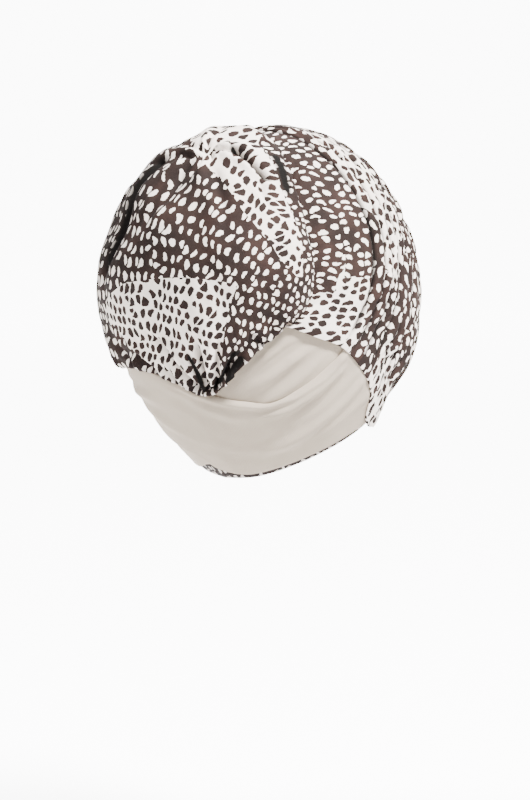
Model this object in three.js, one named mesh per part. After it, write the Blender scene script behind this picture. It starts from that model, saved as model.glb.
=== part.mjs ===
// A soft turban headwrap as it is worn: a printed crown bag gathered at the back of the head, a printed
// drape that lies in rolled pleats from ear to ear, and two plain bands that cross over the nape.
// Millimetres, +Z up, the face looks along -Y and the wearer's left is +X. The origin is the middle of
// the head at the level of the ear tops.
import * as THREE from "three";

// The head that the wrap sits on
const headLength = 188;
const headWidth = 156;
const skullRise = 121; // from the ear tops to the top of the head
const skullDrop = 124; // how far down the head form would close if it had no neck

// Cloth
const clothWall = 1.6;
const layerGap = 0.5; // between two layers that lie on each other
const seamGap = 1; // between two edges that are sewn side by side
const skinGap = 0.4; // between the head and the cloth on it

// The wrap
const hemDrop = 94; // nape hem below the ear tops
const tipDrop = 57; // front corner of the wrap, by the ear lobe
const browRise = 25; // front edge over the forehead
const seamTopSetback = 42; // crown seam behind the middle of the head, where it passes over the top
const seamLoft = 7; // how far the loose cloth at the crown seam stands over the top of the head
const bagPuff = 29.5; // how far the crown bag stands out beyond the bands' edge and the seam
const waistFlare = 21; // how far the bands stand out from the head where they hold the bag
const bagLip = 1.5; // how far the bag's lower edge hangs out over the bands
const crownLap = 4; // the crown's edge lies over the drape's by this much
const pleatBed = 1.5; // folded cloth under the rolls of the pleats
const pleatRise = 8; // height of the rolled pleats
const bandFoldRise = 3.4; // height of the folds in the bands
const bagFoldDepth = 9; // depth of the deepest crease in the bag

// How finely the walls are divided
const crownColumns = 52;
const bagRows = 16;
const napeRows = 7;
const drapeColumns = 36;
const pleatSteps = 4;
const bandColumns = 36;
const bandRows = 7;

const colours = {
  print: { color: 0x4a3834, roughness: 0.82, metalness: 0 },
  plain: { color: 0xc9bfb2, roughness: 0.86, metalness: 0 },
};

// Turns are degrees round the head from the middle of the back, and the wearer's left is positive.
// Levels are shares of skullRise above the ear tops, or of skullDrop below them.
// The seam beside the ear, from the front corner (at 0) up and back to the crown's corner (at 1). right
// and left are its turns on the two sides.
const earSeam = [
  { at: 0, right: 89, left: 89, level: -tipDrop / skullDrop },
  { at: 0.12, right: 85.5, left: 86, level: (-0.8 * tipDrop) / skullDrop },
  { at: 0.25, right: 83.5, left: 84, level: (-0.57 * tipDrop) / skullDrop },
  { at: 0.4, right: 77.5, left: 79, level: (-0.34 * tipDrop) / skullDrop },
  { at: 0.62, right: 65.5, left: 70, level: (-0.05 * tipDrop) / skullDrop },
  { at: 0.8, right: 53, left: 61, level: 0.04 },
  { at: 1, right: 40, left: 52, level: 0.105 },
];

// The nape hem, from the middle of the back (at 0) to the front corner (at 1); drop is a share of hemDrop
const napeHem = [
  { at: 0, turn: 0, drop: 1 },
  { at: 0.25, turn: 22.3, drop: 0.966 },
  { at: 0.5, turn: 44.5, drop: 0.875 },
  { at: 0.75, turn: 66.7, drop: 0.758 },
  { at: 0.9, turn: 80.5, drop: 0.672 },
  { at: 1, turn: 89, drop: tipDrop / hemDrop },
];

// The line where the bands hold the bag, from right to left; flare is a share of waistFlare
const waist = [
  { at: 0, turn: -40, level: 0.105, flare: 0.03 },
  { at: 0.07, turn: -35.5, level: 0.06, flare: 0.08 },
  { at: 0.17, turn: -29, level: -0.01, flare: 0.13 },
  { at: 0.28, turn: -22, level: -0.1, flare: 0.18 },
  { at: 0.37, turn: -15.5, level: -0.175, flare: 0.22 },
  { at: 0.44, turn: -10, level: -0.2, flare: 0.28 },
  { at: 0.52, turn: -2, level: -0.18, flare: 0.42 },
  { at: 0.6, turn: 7, level: -0.145, flare: 0.65 },
  { at: 0.7, turn: 18, level: -0.13, flare: 0.82 },
  { at: 0.8, turn: 29, level: -0.14, flare: 0.9 },
  { at: 0.88, turn: 38, level: -0.12, flare: 0.85 },
  { at: 0.95, turn: 47, level: -0.01, flare: 0.45 },
  { at: 1, turn: 52, level: 0.105, flare: 0.03 },
];

// The bag's puff from the bands (up 0) to the crown seam (up 1), as a share of bagPuff
const bagProfile = [
  { up: 0, puff: 0 },
  { up: 0.15, puff: 0.32 },
  { up: 0.3, puff: 0.68 },
  { up: 0.45, puff: 0.93 },
  { up: 0.6, puff: 1 },
  { up: 0.78, puff: 0.83 },
  { up: 0.91, puff: 0.46 },
  { up: 1, puff: 0 },
];

// How far the bag puffs out in each part, from right to left; low and high are its lower and upper half
const bagShape = [
  { at: 0, low: 0.06, high: 0.06 },
  { at: 0.12, low: 0.45, high: 0.42 },
  { at: 0.3, low: 0.86, high: 0.82 },
  { at: 0.5, low: 1, high: 1.02 },
  { at: 0.7, low: 0.98, high: 0.98 },
  { at: 0.88, low: 0.6, high: 0.62 },
  { at: 1, low: 0.06, high: 0.06 },
];

// Hoops of the drape from the front edge (ear 0) to the crown seam (ear 1). ear and top are shares of the
// way along the ear seam and over the top. sway and bend are how far the hoop leans forward, half-way up
// and near the ear, as shares of headLength, and loft is its share of seamLoft.
const hoops = [
  { ear: 0, top: 0, sway: -0.02, bend: 0, loft: 0 },
  { ear: 0.2, top: 0.3, sway: 0.03, bend: 0, loft: 0 },
  { ear: 0.4, top: 0.58, sway: 0.08, bend: 0, loft: 0.15 },
  { ear: 0.62, top: 0.82, sway: 0.13, bend: 0, loft: 0.45 },
  { ear: 1, top: 1, sway: 0, bend: 0.035, loft: 1 },
];

// The creases between the rolled pleats: ear says which hoop each follows, and rise how high the pleat
// behind its crease stands, as a share of pleatRise
const pleats = [
  { ear: 0.08, rise: 0.6 },
  { ear: 0.19, rise: 0.85 },
  { ear: 0.3, rise: 0.9 },
  { ear: 0.41, rise: 0.85 },
  { ear: 0.51, rise: 1 },
  { ear: 0.62, rise: 0.45 },
];

// Creases in the bag. across is the place from right (0) to left (1) and up the place from the bands (0)
// to the crown seam (1), each at the crease's two ends. depth is a share of bagFoldDepth and width is in
// the same shares as across and up.
const bagCreases = [
  { across: [0.53, 0.715], up: [0.76, 0.3], depth: 0.85, width: 0.036 },
  { across: [0.47, 0.3], up: [0.76, 0.83], depth: 0.6, width: 0.03 },
  { across: [0.49, 0.58], up: [0.66, 0.4], depth: 0.25, width: 0.035 },
  { across: [0.42, 0.34], up: [0.9, 0.72], depth: 0.3, width: 0.03 },
  { across: [0.54, 0.6], up: [0.97, 0.8], depth: 0.35, width: 0.03 },
  { across: [0.41, 0.44], up: [0, 0.27], depth: 0.9, width: 0.032 },
  { across: [0.36, 0.33], up: [0, 0.24], depth: 0.7, width: 0.03 },
  { across: [0.47, 0.56], up: [0, 0.2], depth: 0.7, width: 0.034 },
  { across: [0.62, 0.74], up: [0.02, 0.2], depth: 0.5, width: 0.034 },
];

// The edges of each band over the nape. along runs from the end by its own ear (0), where it has the
// upper half of the ear seam, to the far end (1), where it has the lower half. low and high are shares
// of the way from the nape hem to the waist.
const bandEdges = [
  { along: 0, low: 0.52, high: 0.985 },
  { along: 0.14, low: 0.28, high: 0.985 },
  { along: 0.3, low: 0.12, high: 0.985 },
  { along: 0.5, low: 0.07, high: 0.97 },
  { along: 0.6, low: 0.055, high: 0.95 },
  { along: 0.7, low: 0.03, high: 0.84 },
  { along: 0.8, low: 0.02, high: 0.71 },
  { along: 0.9, low: 0.015, high: 0.61 },
  { along: 1, low: 0.01, high: 0.55 },
];

// Folds in each band, from one end to the other. up is the place between the band's own edges.
const underBandFolds = [
  { along: [0, 0.34], up: [0.52, 0.84], rise: 0.8, width: 0.1 },
  { along: [0, 0.3], up: [0.86, 0.98], rise: 0.45, width: 0.09 },
];
const overBandFolds = [
  { along: [0.98, 0.62], up: [0.93, 0.97], rise: 1, width: 0.12 },
  { along: [0.97, 0.35], up: [0.62, 0.86], rise: 0.6, width: 0.1 },
  { along: [0.98, 0.66], up: [0.34, 0.26], rise: 0.7, width: 0.11 },
  { along: [0.9, 0.3], up: [0.5, 0.5], rise: 0.35, width: 0.1 },
];

const degree = Math.PI / 180;
const earSeamLength = headLength * 0.59;
const smooth = (x) => THREE.MathUtils.smoothstep(x, 0, 1);
const mix = THREE.MathUtils.lerp;

// The value of a table's column at a place along its first column, on a smooth curve through its rows
function along(table, place, column) {
  const key = Object.keys(table[0])[0];
  const last = table.length - 1;
  let i = 0;
  while (i < last - 1 && place > table[i + 1][key]) i += 1;
  const slope = (k) => {
    const a = table[Math.max(k - 1, 0)];
    const b = table[Math.min(k + 1, last)];
    return (b[column] - a[column]) / (b[key] - a[key]);
  };
  const step = table[i + 1][key] - table[i][key];
  const t = THREE.MathUtils.clamp((place - table[i][key]) / step, 0, 1);
  const [h, v] = [t * t * (3 - 2 * t), t * (1 - t)];
  const start = table[i][column] * (1 - h) + table[i + 1][column] * h;
  return start + step * v * (slope(i) * (1 - t) - slope(i + 1) * t);
}

// The point in a direction from the origin, standing off the head form by so many millimetres
function offHead(direction, stand) {
  const d = direction.clone().normalize();
  const tall = d.z > 0 ? skullRise : skullDrop;
  const reach = 1 / Math.hypot(d.x / (headWidth / 2), d.y / (headLength / 2), d.z / tall);
  return d.multiplyScalar(reach + stand);
}

// The point of the head form at a turn and a level
function onHead(turn, level) {
  const section = Math.sqrt(1 - level * level);
  const height = level * (level > 0 ? skullRise : skullDrop);
  const [side, back] = [Math.sin(turn * degree), Math.cos(turn * degree)];
  const reach = section / Math.hypot(side / (headWidth / 2), back / (headLength / 2));
  return new THREE.Vector3(side * reach, back * reach, height);
}

// A point of the ear seam on one side, -1 for the right and 1 for the left
function earSeamPoint(place, side) {
  return onHead(side * along(earSeam, place, side < 0 ? "right" : "left"), along(earSeam, place, "level"));
}

// A point of a hoop of the drape. half runs from 0 at the right ear through 0.5 on top to 1 at the left.
function hoopPoint(ear, half) {
  const side = half < 0.5 ? -1 : 1;
  const foot = earSeamPoint(ear, side);
  const front = -Math.acos(browRise / skullRise);
  const back = Math.asin(seamTopSetback / (headLength / 2));
  const topAngle = mix(front, back, along(hoops, ear, "top"));
  const topY = (Math.sin(topAngle) * headLength) / 2;
  const topZ = Math.cos(topAngle) * skullRise;
  const rise = Math.sin(Math.PI * half);
  const middling = 4 * along(hoops, ear, "sway") * rise * (1 - rise);
  const low = 9.5 * along(hoops, ear, "bend") * rise * (1 - rise) ** 3;
  const sway = headLength * (middling + low);
  const length = Math.hypot(topY - foot.y, topZ - foot.z);
  const y = mix(foot.y, topY, rise) - (sway * (topZ - foot.z)) / length;
  const z = mix(foot.z, topZ, rise) + (sway * (topY - foot.y)) / length;
  const tall = z > 0 ? skullRise : skullDrop;
  const open = Math.max(0, 1 - (y / (headLength / 2)) ** 2 - (z / tall) ** 2);
  return new THREE.Vector3((side * headWidth * Math.sqrt(open)) / 2, y, z);
}

// How far the cloth under the bands stands off the head, between the hem (up 0) and the waist (up 1)
function napeStand(across, up) {
  return skinGap + clothWall + waistFlare * along(waist, across, "flare") * up ** 1.35;
}

// The direction of a point over the nape, across from the right ear seam to the left one
function napeDirection(across, up) {
  const side = across < 0.5 ? -1 : 1;
  const round = Math.abs(2 * across - 1);
  const drop = (along(napeHem, round, "drop") * hemDrop) / skullDrop;
  const hem = onHead(side * along(napeHem, round, "turn"), -drop);
  const top = onHead(along(waist, across, "turn"), along(waist, across, "level"));
  const seam = earSeamPoint(up, side);
  const bow = seam.clone().sub(earSeamPoint(0, side).lerp(earSeamPoint(1, side), up));
  const inset = onHead(0, -hemDrop / skullDrop).sub(seam).setLength(seamGap);
  return hem.lerp(top, up).addScaledVector(bow, round ** 5).addScaledVector(inset, round ** 8);
}

// The relief of a list of folds at a place, each a straight line in the piece's own two shares
function relief(folds, first, second, firstName, secondName, sizeName) {
  return folds.reduce((sum, fold) => {
    const [a, b] = fold[firstName];
    const [c, d] = fold[secondName];
    const run = new THREE.Vector2(b - a, d - c);
    const from = new THREE.Vector2(first - a, second - c);
    const t = from.dot(run) / run.lengthSq();
    const off = from.addScaledVector(run, -THREE.MathUtils.clamp(t, 0, 1)).length();
    const fade = smooth((1.15 - t) / 0.5) * smooth((t + 0.3) / 0.35);
    return sum + fold[sizeName] * fade * Math.exp(-((off / fold.width) ** 2));
  }, 0);
}

// How far the drape's outer face stands off the head. ear runs from the front edge to the crown seam.
function drapeStand(ear, half) {
  const bounds = [{ ear: 0, rise: 0.5 }, ...pleats, { ear: 1, rise: 0 }];
  let i = 0;
  while (i < bounds.length - 2 && ear > bounds[i + 1].ear) i += 1;
  const t = Math.min((ear - bounds[i].ear) / (bounds[i + 1].ear - bounds[i].ear), 1);
  const roll = Math.sin(Math.PI * t) ** 0.7 * (1 - 0.25 * t);
  const bunched = 0.65 + 0.35 * Math.abs(2 * half - 1);
  const flat = smooth(Math.min(1, (1 - ear) / 0.12));
  const loft = seamLoft * along(hoops, ear, "loft") * Math.sin(Math.PI * half) ** 2;
  const sewn = mix(0.2, 1, smooth(Math.min(1, Math.sin(Math.PI * half) / 0.35)));
  const bed = pleatBed * smooth(Math.min(1, ear / 0.1));
  const rolls = bed + pleatRise * bounds[i].rise * roll * bunched * flat;
  return skinGap + clothWall + loft + rolls * sewn;
}

function drapePoint(ear, half) {
  return offHead(hoopPoint(ear, half), drapeStand(ear, half));
}

// The crown's outer face: up runs from the nape hem (0) to the waist (1) and on to the crown seam (2)
function crownPoint(across, up) {
  if (up <= 1) return offHead(napeDirection(across, up), napeStand(across, up));
  const q = up - 1;
  const low = napeStand(across, 1) + 2 * (clothWall + layerGap) + bagLip;
  const puff = bagPuff * mix(along(bagShape, across, "low"), along(bagShape, across, "high"), smooth(q));
  const creased = bagFoldDepth * relief(bagCreases, across, q, "across", "up", "depth") * 4 * q * (1 - q);
  const foot = onHead(along(waist, across, "turn"), along(waist, across, "level"));
  const seam = hoopPoint(1, across);
  const lap = seam.clone().add(hoopPoint(0.95, across).sub(seam).setLength(crownLap));
  const lapped = drapeStand(1 - crownLap / earSeamLength, across) + clothWall + 2.5 * layerGap;
  const stand = mix(low, lapped, smooth(q)) + puff * along(bagProfile, q, "puff") - creased;
  return offHead(foot.lerp(lap, q), stand);
}

// A band's outer face. own is the side of its own ear, -1 for the right and 1 for the left, and layer
// says how many layers of cloth lie under it.
function bandPoint(place, up, own, layer, folds) {
  const across = own < 0 ? place : 1 - place;
  const level = mix(along(bandEdges, place, "low"), along(bandEdges, place, "high"), up);
  const rise = bandFoldRise * relief(folds, place, up, "along", "up", "rise");
  const stand = napeStand(across, level) + layer * (clothWall + layerGap);
  return offHead(napeDirection(across, level), stand + rise);
}

// A closed wall of cloth between the outer face and the same face moved in by the cloth's thickness
function clothGeometry(face, firsts, seconds) {
  const nudge = 0.004;
  const normalAt = (a, b) => {
    const da = face(Math.min(a + nudge, firsts.at(-1)), b).sub(face(Math.max(a - nudge, firsts[0]), b));
    const db = face(a, Math.min(b + nudge, seconds.at(-1))).sub(face(a, Math.max(b - nudge, seconds[0])));
    const normal = da.cross(db).normalize();
    return normal.dot(face(a, b)) < 0 ? normal.negate() : normal;
  };
  const outer = firsts.map((a) => seconds.map((b) => face(a, b)));
  const inner = firsts.map((a, i) =>
    seconds.map((b, j) => outer[i][j].clone().addScaledVector(normalAt(a, b), -clothWall)),
  );
  const [columns, rows] = [firsts.length, seconds.length];
  const positions = [...outer.flat(), ...inner.flat()].flatMap((p) => p.toArray());
  const index = [];
  const quad = (a, b, c, d) => index.push(a, b, c, a, c, d);
  const at = (side, i, j) => side * columns * rows + i * rows + j;
  for (let i = 0; i < columns - 1; i += 1) {
    for (let j = 0; j < rows - 1; j += 1) {
      quad(at(0, i, j), at(0, i, j + 1), at(0, i + 1, j + 1), at(0, i + 1, j));
      quad(at(1, i, j), at(1, i + 1, j), at(1, i + 1, j + 1), at(1, i, j + 1));
    }
    quad(at(0, i, 0), at(0, i + 1, 0), at(1, i + 1, 0), at(1, i, 0));
    quad(at(0, i, rows - 1), at(1, i, rows - 1), at(1, i + 1, rows - 1), at(0, i + 1, rows - 1));
  }
  for (let j = 0; j < rows - 1; j += 1) {
    quad(at(0, 0, j), at(1, 0, j), at(1, 0, j + 1), at(0, 0, j + 1));
    quad(at(0, columns - 1, j), at(0, columns - 1, j + 1), at(1, columns - 1, j + 1), at(1, columns - 1, j));
  }
  const geometry = new THREE.BufferGeometry();
  geometry.setAttribute("position", new THREE.Float32BufferAttribute(positions, 3));
  geometry.setIndex(index);
  const middle = outer[columns >> 1][rows >> 1];
  const turned = new THREE.Triangle(middle, outer[(columns >> 1) + 1][rows >> 1], outer[columns >> 1][(rows >> 1) + 1]);
  if (turned.getNormal(new THREE.Vector3()).dot(middle) > 0) index.reverse();
  geometry.setIndex(index);
  geometry.computeVertexNormals();
  return geometry;
}

const even = (from, to, steps) => Array.from({ length: steps + 1 }, (_, i) => mix(from, to, i / steps));

function piece(name, geometry, colour) {
  const mesh = new THREE.Mesh(geometry, new THREE.MeshStandardMaterial(colour));
  mesh.name = name;
  return mesh;
}

function crown() {
  const rows = [...even(0, 1, napeRows), ...even(1.03, 2, bagRows)];
  return piece("crown", clothGeometry(crownPoint, even(0, 1, crownColumns), rows), colours.print);
}

function frontDrape() {
  const creases = [0, ...pleats.map((p) => p.ear), 1];
  const ears = creases.slice(1).flatMap((ear, i) => even(creases[i], ear, pleatSteps).slice(0, -1));
  const geometry = clothGeometry(drapePoint, [...ears, 1], even(0, 1, drapeColumns));
  return piece("front_drape", geometry, colours.print);
}

function band(name, own, layer, folds) {
  const face = (place, up) => bandPoint(place, up, own, layer, folds);
  const geometry = clothGeometry(face, even(0, 1, bandColumns), even(0, 1, bandRows));
  return piece(name, geometry, colours.plain);
}

const turban = new THREE.Group();
turban.add(crown());
turban.add(frontDrape());
turban.add(band("band_right", -1, 1, underBandFolds));
turban.add(band("band_left", 1, 2, overBandFolds));

export default turban;
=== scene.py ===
"""A soft turban headwrap over its solids: spotted jersey, plain jersey bands, folds and gathers."""

import math

import bpy
import numpy as np
from mathutils import Matrix, Vector


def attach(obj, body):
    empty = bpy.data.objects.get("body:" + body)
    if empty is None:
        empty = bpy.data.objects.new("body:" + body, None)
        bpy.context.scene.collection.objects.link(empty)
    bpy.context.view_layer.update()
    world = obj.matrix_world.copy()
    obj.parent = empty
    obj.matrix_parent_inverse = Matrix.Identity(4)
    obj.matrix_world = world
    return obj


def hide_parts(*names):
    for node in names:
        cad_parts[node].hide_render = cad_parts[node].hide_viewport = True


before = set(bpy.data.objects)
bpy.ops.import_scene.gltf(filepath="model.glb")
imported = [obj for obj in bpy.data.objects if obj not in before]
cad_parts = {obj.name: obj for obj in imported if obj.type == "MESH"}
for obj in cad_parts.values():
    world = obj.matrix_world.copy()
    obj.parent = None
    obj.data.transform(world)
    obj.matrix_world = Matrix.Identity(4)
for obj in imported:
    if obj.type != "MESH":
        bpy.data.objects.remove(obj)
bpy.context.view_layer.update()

# The head form and the wrap, in millimetres, as in the part's source
HEAD_LENGTH = 188.0
HEAD_WIDTH = 156.0
SKULL_RISE = 121.0
SKULL_DROP = 124.0
CLOTH = 1.6
LAYER_GAP = 0.5
SEAM_GAP = 0.5
SKIN_GAP = 0.4
HEM_DROP = 94.0
TIP_DROP = 57.0
BROW_RISE = 25.0
SEAM_SETBACK = 42.0
SEAM_LOFT = 7.0
BAG_PUFF = 29.5
WAIST_FLARE = 21.0
BAG_LIP = 1.5
CROWN_LAP = 4.0
PLEAT_BED = 1.5
PLEAT_RISE = 8.0
EAR_SEAM_LENGTH = HEAD_LENGTH * 0.59

TIP = TIP_DROP / SKULL_DROP
EAR_SEAM = {
    "at": [0, 0.12, 0.25, 0.4, 0.62, 0.8, 1],
    "right": [89, 85.5, 83.5, 77.5, 65.5, 53, 40],
    "left": [89, 86, 84, 79, 70, 61, 52],
    "level": [-TIP, -0.8 * TIP, -0.57 * TIP, -0.34 * TIP, -0.05 * TIP, 0.04, 0.105],
}
NAPE_HEM = {
    "at": [0, 0.25, 0.5, 0.75, 0.9, 1],
    "turn": [0, 22.3, 44.5, 66.7, 80.5, 89],
    "drop": [1, 0.966, 0.875, 0.758, 0.672, TIP_DROP / HEM_DROP],
}
WAIST = {
    "at": [0, 0.07, 0.17, 0.28, 0.37, 0.44, 0.52, 0.6, 0.7, 0.8, 0.88, 0.95, 1],
    "turn": [-40, -35.5, -29, -22, -15.5, -10, -2, 7, 18, 29, 38, 47, 52],
    "level": [0.105, 0.06, -0.01, -0.1, -0.175, -0.2, -0.18, -0.145, -0.13, -0.14, -0.12, -0.01, 0.105],
    "flare": [0.03, 0.08, 0.13, 0.18, 0.22, 0.28, 0.42, 0.65, 0.82, 0.9, 0.85, 0.45, 0.03],
}
BAG_PROFILE = {
    "up": [0, 0.15, 0.3, 0.45, 0.6, 0.78, 0.91, 1],
    "puff": [0, 0.32, 0.68, 0.93, 1, 0.83, 0.46, 0],
}
BAG_SHAPE = {
    "at": [0, 0.12, 0.3, 0.5, 0.7, 0.88, 1],
    "low": [0.06, 0.45, 0.86, 1, 0.98, 0.6, 0.06],
    "high": [0.06, 0.42, 0.82, 1.02, 0.98, 0.62, 0.06],
}
HOOPS = {
    "ear": [0, 0.2, 0.4, 0.62, 1],
    "top": [0, 0.3, 0.58, 0.82, 1],
    "sway": [-0.02, 0.03, 0.08, 0.13, 0],
    "bend": [0, 0, 0, 0, 0.035],
    "loft": [0, 0, 0.15, 0.45, 1],
}
PLEATS = [0, 0.07, 0.15, 0.235, 0.32, 0.41, 0.5, 0.58, 0.655, 1]
PLEAT_LIFT = {
    "at": [0, 0.05, 0.15, 0.3, 0.5, 0.6, 0.655, 0.72, 1],
    "lift": [0.3, 0.6, 0.8, 0.9, 0.9, 0.95, 0.75, 0.45, 0.45],
}
UNDER_EDGES = {
    "along": [0, 0.12, 0.215, 0.3, 0.4, 0.48, 0.54, 0.6, 0.7, 0.8, 0.9, 1],
    "low": [0.52, 0.34, 0.26, 0.24, 0.22, 0.24, 0.2, 0.1, 0.045, 0.025, 0.015, 0.01],
    "high": [0.985, 0.985, 0.985, 0.985, 0.98, 0.975, 0.965, 0.95, 0.84, 0.71, 0.61, 0.55],
}
OVER_EDGES = {
    "along": [0, 0.14, 0.3, 0.4, 0.466, 0.52, 0.6, 0.7, 0.785, 0.9, 1],
    "low": [0.52, 0.46, 0.41, 0.37, 0.32, 0.215, 0.14, 0.11, 0.102, 0.088, 0.065],
    "high": [0.985, 0.985, 0.985, 0.98, 0.97, 0.95, 0.89, 0.74, 0.62, 0.585, 0.6],
}

# Thickness of the printed sheets and of the folded bands in millimetres, the points of half a turn round a
# band's edge, and how much coarser the lining of a band is than its face
SHEET_THICK = 0.9
BAND_THICK = 1.9
EDGE_POINTS = 7
LINING_STEP = 3

# Small helpers on arrays


def smooth(x):
    x = np.clip(x, 0, 1)
    return x * x * (3 - 2 * x)


def mix(a, b, t):
    return a + (b - a) * t


def curve(table, place, column):
    """The value of a table's column, on a smooth curve through its rows."""
    key = np.array(next(iter(table.values())), float)
    val = np.array(table[column], float)
    last = len(key) - 1
    place = np.asarray(place, float)
    i = np.clip(np.searchsorted(key, place, side="left") - 1, 0, last - 1)
    a, b = np.maximum(np.arange(last + 1) - 1, 0), np.minimum(np.arange(last + 1) + 1, last)
    slope = (val[b] - val[a]) / (key[b] - key[a])
    step = key[i + 1] - key[i]
    t = np.clip((place - key[i]) / step, 0, 1)
    h, v = t * t * (3 - 2 * t), t * (1 - t)
    return val[i] * (1 - h) + val[i + 1] * h + step * v * (slope[i] * (1 - t) - slope[i + 1] * t)


def lattice(ix, iy, seed):
    """A value from -1 to 1 for each whole place of a lattice."""
    h = (ix * 374761393 + iy * 668265263 + seed * 974634777) & 0xFFFFFFFF
    h = ((h ^ (h >> 13)) * 1274126177) & 0xFFFFFFFF
    return ((h ^ (h >> 16)) & 0xFFFF) / 32767.5 - 1


def noise(x, y, seed=0):
    """Smooth value noise from -1 to 1."""
    x, y = np.broadcast_arrays(np.asarray(x, float), np.asarray(y, float))
    ix, iy = np.floor(x).astype(np.int64), np.floor(y).astype(np.int64)
    fx, fy = x - ix, y - iy
    fx, fy = fx**3 * (fx * (fx * 6 - 15) + 10), fy**3 * (fy * (fy * 6 - 15) + 10)
    low = mix(lattice(ix, iy, seed), lattice(ix + 1, iy, seed), fx)
    high = mix(lattice(ix, iy + 1, seed), lattice(ix + 1, iy + 1, seed), fx)
    return mix(low, high, fy)


def puffs(n):
    """Round puffs between sharp valleys, from a noise value."""
    return 1.7 * np.abs(n) ** 0.8 - 0.45


def valley(n):
    """1 along the valleys of puffs, 0 between them."""
    return np.clip(1 - np.abs(n) / 0.14, 0, 1)


def length(v):
    return np.sqrt((v * v).sum(-1))


def unit(v):
    return v / np.maximum(length(v), 1e-9)[..., None]


# The head form and the lines of the wrap on it


def on_head(turn, level):
    """Points on the head form, at a turn in degrees from the back and a level from -1 to 1."""
    turn, level = np.broadcast_arrays(np.radians(np.asarray(turn, float)), np.asarray(level, float))
    section = np.sqrt(1 - level * level)
    side, back = np.sin(turn), np.cos(turn)
    reach = section / np.hypot(side / (HEAD_WIDTH / 2), back / (HEAD_LENGTH / 2))
    height = level * np.where(level > 0, SKULL_RISE, SKULL_DROP)
    return np.stack([side * reach, back * reach, height], -1)


def off_head(direction, stand):
    """Points in the given directions from the middle of the head form, at a distance off it."""
    d = unit(direction)
    tall = np.where(d[..., 2] > 0, SKULL_RISE, SKULL_DROP)
    level_part = (d[..., 0] / (HEAD_WIDTH / 2)) ** 2 + (d[..., 1] / (HEAD_LENGTH / 2)) ** 2
    r = 1 / np.sqrt(level_part + (d[..., 2] / tall) ** 2)
    return d * (r + stand)[..., None]


def ear_seam(place, side):
    """The seam behind an ear, from the tip at 0 to the crown seam at 1; side is below 0 on the right."""
    turn = np.where(side < 0, curve(EAR_SEAM, place, "right"), curve(EAR_SEAM, place, "left"))
    return on_head(side * turn, curve(EAR_SEAM, place, "level"))


def hoop(ear, half):
    """Lines over the head form from ear to ear, from the front edge at ear 0 to the crown seam at 1."""
    side = np.where(half < 0.5, -1.0, 1.0)
    foot = ear_seam(ear, side)
    front = -math.acos(BROW_RISE / SKULL_RISE)
    back = math.asin(SEAM_SETBACK / (HEAD_LENGTH / 2))
    angle = mix(front, back, curve(HOOPS, ear, "top"))
    top_y, top_z = np.sin(angle) * HEAD_LENGTH / 2, np.cos(angle) * SKULL_RISE
    rise = np.sin(np.pi * half)
    even = 4 * curve(HOOPS, ear, "sway") * rise * (1 - rise)
    near_ear = 9.5 * curve(HOOPS, ear, "bend") * rise * (1 - rise) ** 3
    sway = (even + near_ear) * HEAD_LENGTH
    dy, dz = top_y - foot[..., 1], top_z - foot[..., 2]
    run = np.hypot(dy, dz)
    y = foot[..., 1] + dy * rise - sway * dz / run
    z = foot[..., 2] + dz * rise + sway * dy / run
    tall = np.where(z > 0, SKULL_RISE, SKULL_DROP)
    aside = np.maximum(0, 1 - (y / (HEAD_LENGTH / 2)) ** 2 - (z / tall) ** 2)
    return np.stack([side * HEAD_WIDTH / 2 * np.sqrt(aside), y, z], -1)


def nape_stand(across, up):
    """How far the cloth of the nape stands off the head form."""
    return SKIN_GAP + CLOTH + WAIST_FLARE * curve(WAIST, across, "flare") * np.maximum(up, 0) ** 1.35


def nape_direction(across, up):
    """Places of the nape on the head form, from the hem at up 0 to the waist of the bag at 1."""
    side = np.where(across < 0.5, -1.0, 1.0)
    around = np.abs(2 * across - 1)
    hem_level = -curve(NAPE_HEM, around, "drop") * HEM_DROP / SKULL_DROP
    hem = on_head(side * curve(NAPE_HEM, around, "turn"), hem_level)
    top = on_head(curve(WAIST, across, "turn"), curve(WAIST, across, "level"))
    seam = ear_seam(up, side)
    low, high = ear_seam(np.zeros_like(up), side), ear_seam(np.ones_like(up), side)
    bow = seam - mix(low, high, up[..., None])
    inset = unit(on_head(np.zeros_like(up), np.full_like(up, -HEM_DROP / SKULL_DROP)) - seam) * SEAM_GAP
    return mix(hem, top, up[..., None]) + bow * (around**5)[..., None] + inset * (around**8)[..., None]


# Distances on a cloth's own chart, in millimetres


def chart_lines(points, a, b, table):
    """Points of the chart at places (a, b) given as shares, read off the grid of chart points."""
    out = []
    for u, v in table:
        i = np.interp(u, a, np.arange(len(a)))
        j = np.interp(v, b, np.arange(len(b)))
        i0, j0 = min(int(i), len(a) - 2), min(int(j), len(b) - 2)
        fi, fj = i - i0, j - j0
        p = points[i0, j0] * (1 - fi) * (1 - fj) + points[i0 + 1, j0] * fi * (1 - fj)
        out.append(p + points[i0, j0 + 1] * (1 - fi) * fj + points[i0 + 1, j0 + 1] * fi * fj)
    return np.array(out)


def to_line(points, line):
    """Signed distance to a line of chart points, and the place along it from 0 to 1."""
    total = np.concatenate([[0], np.cumsum(length(np.diff(line, axis=0)))])
    best = np.full(points.shape[:-1], 1e9)
    sign = np.ones_like(best)
    place = np.zeros_like(best)
    for k in range(len(line) - 1):
        run = line[k + 1] - line[k]
        size = float(length(run))
        rel = points - line[k]
        t = np.clip((rel @ run) / size**2, 0, 1)
        off = rel - t[..., None] * run
        d = length(off)
        near = d < best
        best = np.where(near, d, best)
        sign = np.where(near, np.sign(run[0] * rel[..., 1] - run[1] * rel[..., 0]), sign)
        place = np.where(near, (total[k] + t * size) / total[-1], place)
    return best * sign, place


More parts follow.
